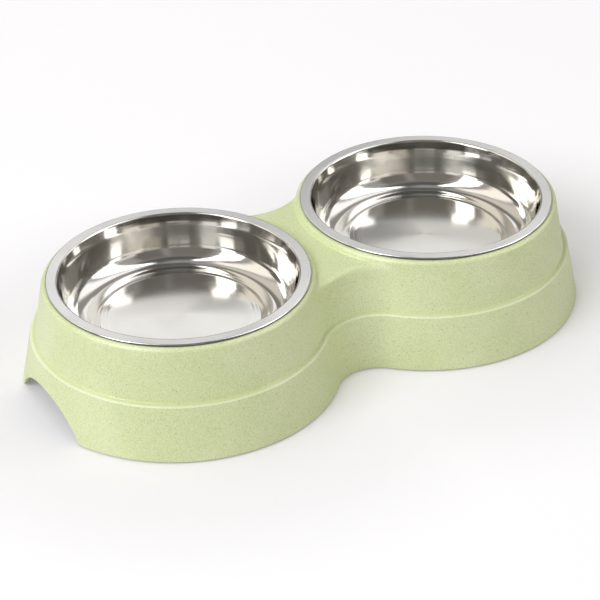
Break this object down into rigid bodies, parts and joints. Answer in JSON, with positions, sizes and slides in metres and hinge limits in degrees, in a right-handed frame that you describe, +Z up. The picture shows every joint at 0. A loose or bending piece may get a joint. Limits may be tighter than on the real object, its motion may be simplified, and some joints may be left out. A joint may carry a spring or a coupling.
{
  "type": "double pet bowl",
  "caption": "Figure-eight moulded stand on rubber feet that holds a pair of lift-out pressed steel bowls for pet food and water, with a finger arch at each end.",
  "frame": {"origin": "on the floor, under the middle of the stand", "axes": "+X along the row of bowls from the food bowl to the water bowl, +Y to the rear, +Z up"},
  "size_m": [0.3042, 0.163, 0.0583],
  "materials": {
    "straw_plastic": "satin pale green with fine straw specks",
    "bowl_steel": "mirror polish inside, satin rim",
    "foot_rubber": "matte grey"
  },
  "bodies": {
    "stand": {"base_shell": "straw_plastic", "foot_left_front": "foot_rubber", "foot_left_rear": "foot_rubber", "foot_middle_front": "foot_rubber", "foot_middle_rear": "foot_rubber", "foot_right_front": "foot_rubber", "foot_right_rear": "foot_rubber"},
    "food_bowl": {"food_bowl": "bowl_steel"},
    "water_bowl": {"water_bowl": "bowl_steel"}
  },
  "joints": [
    {"name": "food_bowl_lift", "type": "slide", "parent": "stand", "child": "food_bowl", "axis": [0, 0, 1], "range_m": [0, 0.06]},
    {"name": "water_bowl_lift", "type": "slide", "parent": "stand", "child": "water_bowl", "axis": [0, 0, 1], "range_m": [0, 0.06]}
  ]
}
